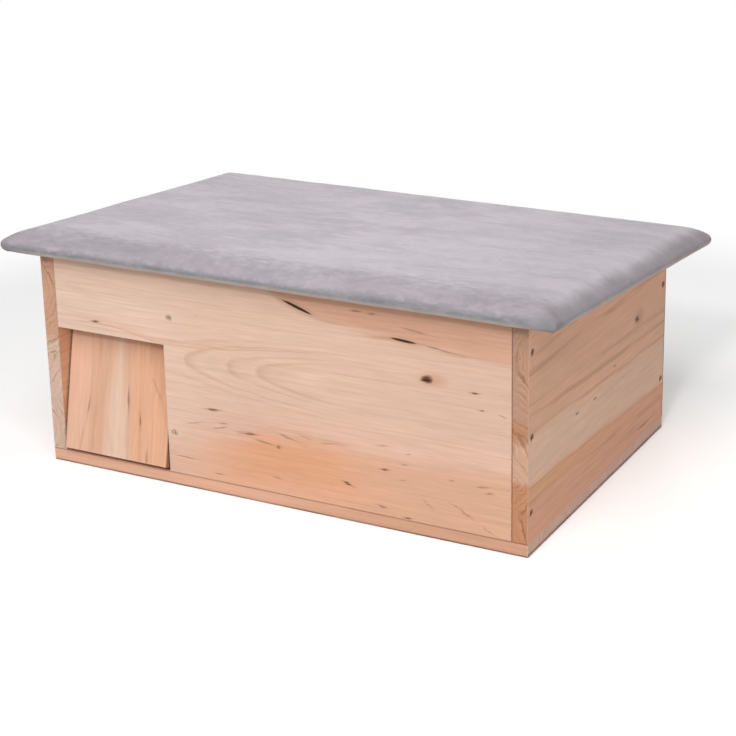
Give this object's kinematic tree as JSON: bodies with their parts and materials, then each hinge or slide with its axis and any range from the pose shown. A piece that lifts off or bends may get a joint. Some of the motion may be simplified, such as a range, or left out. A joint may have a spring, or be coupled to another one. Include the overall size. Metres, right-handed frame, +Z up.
{
  "type": "hedgehog house",
  "caption": "Low wooden hedgehog house with a swinging entrance flap, an inner tunnel and a hinged sloping roof wrapped in roofing felt.",
  "frame": {"origin": "middle of the floor board's underside", "axes": "+X to the right along the width as seen from the front, +Y from the front to the back, +Z up"},
  "size_m": [0.564, 0.3909, 0.2311],
  "materials": {
    "pine": "bare planed softwood",
    "flap_pine": "bare planed softwood",
    "felt": "matt roofing felt",
    "steel": "zinc plated"
  },
  "bodies": {
    "house": {"floor_board": "pine", "left_side_panel": "pine", "right_side_panel": "pine", "front_panel": "pine", "back_panel": "pine", "tunnel_partition": "pine", "left_flap_pin": "steel", "right_flap_pin": "steel", "left_hinge_wall_leaf": "steel", "left_hinge_pin": "steel", "right_hinge_wall_leaf": "steel", "right_hinge_pin": "steel", "wall_leaf_screws": "steel", "front_partition_screws": "steel", "back_partition_screws": "steel", "left_panel_screws": "steel", "right_panel_screws": "steel", "floor_screws": "steel"},
    "roof": {"roof_board": "pine", "roof_felt": "felt", "felt_staples": "steel", "left_hinge_roof_leaf": "steel", "right_hinge_roof_leaf": "steel", "roof_leaf_screws": "steel"},
    "flap": {"entrance_flap": "flap_pine"}
  },
  "joints": [
    {"name": "roof_lift", "type": "hinge", "parent": "house", "child": "roof", "pos_m": [0, 0.1681, 0.18285], "axis": [-1, 0, 0], "range_deg": [0, 92]},
    {"name": "flap_swing", "type": "hinge", "parent": "house", "child": "flap", "pos_m": [-0.175, -0.1385, 0.138], "axis": [1, 0, 0], "range_deg": [-48, 120]}
  ]
}
